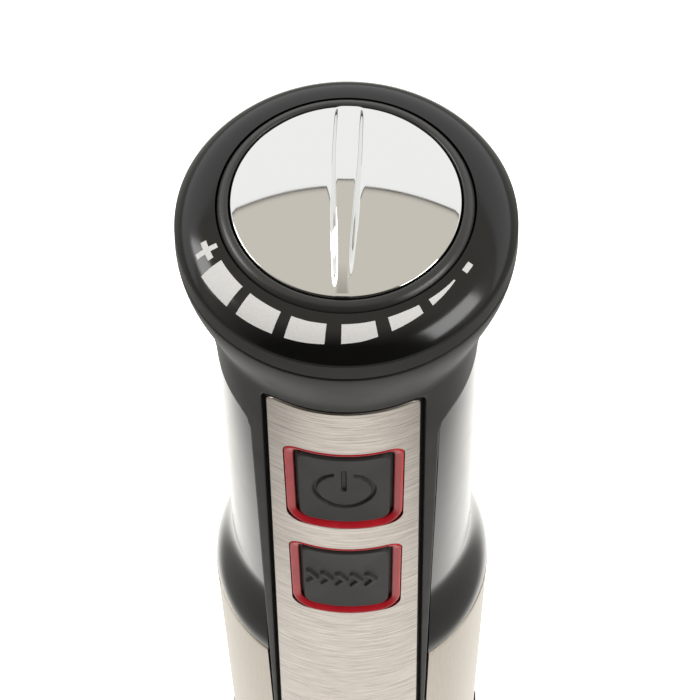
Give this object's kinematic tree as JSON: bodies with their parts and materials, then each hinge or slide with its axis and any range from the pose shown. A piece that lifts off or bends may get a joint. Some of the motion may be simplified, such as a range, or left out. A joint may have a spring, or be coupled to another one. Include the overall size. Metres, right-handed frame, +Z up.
{
  "type": "immersion blender",
  "caption": "Hand-held immersion blender: motor handle with speed dial, two front buttons and a steel sleeve, on a pull-off steel foot with a bell guard and blade.",
  "frame": {"origin": "on the ground under the blender's axis, in the plane of the bell guard's rim", "axes": "+Z up along the blender's axis, towards the speed dial; -Y towards the buttons; +X to the right seen from the buttons' side"},
  "size_m": [0.068, 0.068, 0.4206],
  "materials": {
    "gloss_black": "high gloss moulded",
    "satin_charcoal": "satin moulded",
    "button_grey": "satin moulded",
    "red_gloss": "clear-coated gloss",
    "chrome_dial": "mirror chrome",
    "brushed_panel": "horizontal brushed",
    "champagne_steel": "satin warm steel",
    "foot_steel": "satin brushed",
    "machined_steel": "machined",
    "iron_core": "laminated",
    "copper": "turned copper",
    "ferrite": "sintered matt",
    "carbon": "pressed carbon",
    "board": "solder mask",
    "rubber": "matt",
    "nylon": "moulded nylon"
  },
  "bodies": {
    "handle": {"head_cap": "gloss_black", "dial_bezel": "gloss_black", "housing_left": "gloss_black", "housing_right": "gloss_black", "bottom_collar": "gloss_black", "front_fascia": "satin_charcoal", "power_frame": "red_gloss", "turbo_frame": "red_gloss", "button_panel": "brushed_panel", "steel_sleeve": "champagne_steel", "potentiometer": "machined_steel", "motor_can": "machined_steel", "motor_screw_front": "machined_steel", "motor_screw_back": "machined_steel", "upper_bearing": "machined_steel", "lower_bearing": "machined_steel", "magnet_left": "ferrite", "magnet_right": "ferrite", "brush_left": "carbon", "brush_right": "carbon", "power_switch": "carbon", "turbo_switch": "carbon", "circuit_board": "board", "cord_gland": "rubber", "cord_clamp": "nylon", "motor_endcap": "nylon", "motor_base": "nylon"},
    "dial": {"speed_dial": "chrome_dial", "dial_stem": "machined_steel"},
    "power_key": {"power_button": "button_grey"},
    "turbo_key": {"turbo_button": "button_grey"},
    "release_left": {"release_button_left": "satin_charcoal"},
    "release_right": {"release_button_right": "satin_charcoal"},
    "rotor": {"motor_shaft": "machined_steel", "armature": "iron_core", "commutator": "copper", "cooling_fan": "nylon", "drive_coupling": "machined_steel"},
    "foot": {"foot_collar": "gloss_black", "shaft_tube": "foot_steel", "bell_guard": "foot_steel", "upper_bush": "nylon", "lower_bush": "nylon", "shaft_seal": "rubber"},
    "cutter": {"drive_shaft": "machined_steel", "drive_socket": "machined_steel", "blade": "machined_steel", "blade_hub": "machined_steel", "blade_nut": "machined_steel"}
  },
  "joints": [
    {"name": "speed_dial_turn", "type": "hinge", "parent": "handle", "child": "dial", "pos_m": [0, 0, 0.415], "axis": [0, 0, 1], "range_deg": [-60, 60]},
    {"name": "power_press", "type": "slide", "parent": "handle", "child": "power_key", "axis": [0, 1, 0], "range_m": [0, 0.0015], "stiffness_N_per_m": 1000, "springref_m": -0.0005},
    {"name": "turbo_press", "type": "slide", "parent": "handle", "child": "turbo_key", "axis": [0, 1, 0], "range_m": [0, 0.0015], "stiffness_N_per_m": 1000, "springref_m": -0.0005},
    {"name": "release_left_press", "type": "slide", "parent": "handle", "child": "release_left", "axis": [1, 0, 0], "range_m": [0, 0.002], "stiffness_N_per_m": 1500, "springref_m": -0.0005},
    {"name": "release_right_press", "type": "slide", "parent": "handle", "child": "release_right", "axis": [-1, 0, 0], "range_m": [0, 0.002], "stiffness_N_per_m": 1500, "springref_m": -0.0005},
    {"name": "foot_pull", "type": "slide", "parent": "handle", "child": "foot", "axis": [0, 0, -1], "range_m": [0, 0.05]},
    {"name": "motor_spin", "type": "hinge", "parent": "handle", "child": "rotor", "pos_m": [0, 0, 0.205], "axis": [0, 0, 1], "continuous": true},
    {"name": "blade_spin", "type": "hinge", "parent": "foot", "child": "cutter", "pos_m": [0, 0, 0.014], "axis": [0, 0, 1], "continuous": true}
  ],
  "couplings": [
    {"joint": "blade_spin", "follows": "motor_spin", "ratio": 1}
  ]
}
